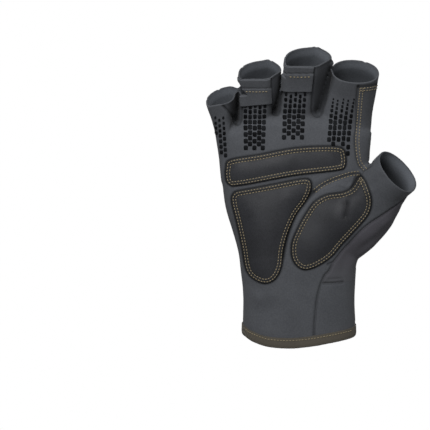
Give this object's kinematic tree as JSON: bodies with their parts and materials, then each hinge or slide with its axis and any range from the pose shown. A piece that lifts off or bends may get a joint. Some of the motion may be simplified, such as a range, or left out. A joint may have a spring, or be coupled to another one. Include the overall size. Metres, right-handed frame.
{
  "type": "fishing glove",
  "caption": "Half-finger sport glove for the right hand, with padded palm patches, open stalls, a slit wrist and a strap that closes on a loop patch.",
  "frame": {"origin": "the middle of the wrist opening, at the height of the hem's lowest edge", "axes": "+Z runs from the wrist to the fingertips, -Y is the side that the palm faces, +X is the thumb's side"},
  "size_m": [0.1316, 0.0571, 0.1915],
  "materials": {
    "shell_fabric": "matte",
    "side_fabric": "matte",
    "stretch_fabric": "matte",
    "leather": "satin",
    "binding_tape": "matte",
    "webbing": "matte",
    "loop_tape": "matte"
  },
  "bodies": {
    "root": {"palm_panel": "shell_fabric", "back_panel": "shell_fabric", "cuff_back_panel": "shell_fabric", "rib_insert": "stretch_fabric", "thumb_stall": "shell_fabric", "thumb_gusset": "stretch_fabric", "cuff_side_panel": "shell_fabric", "index_side_panel": "shell_fabric", "fourchette_index_middle": "side_fabric", "fourchette_middle_ring": "side_fabric", "fourchette_ring_little": "side_fabric", "bar_pad": "leather", "heel_pad": "leather", "thenar_pad": "leather", "pull_tab_middle": "shell_fabric", "pull_tab_ring": "shell_fabric", "wrist_binding": "binding_tape", "slit_binding": "binding_tape", "strap": "webbing", "loop_patch": "loop_tape"}
  },
  "joints": []
}
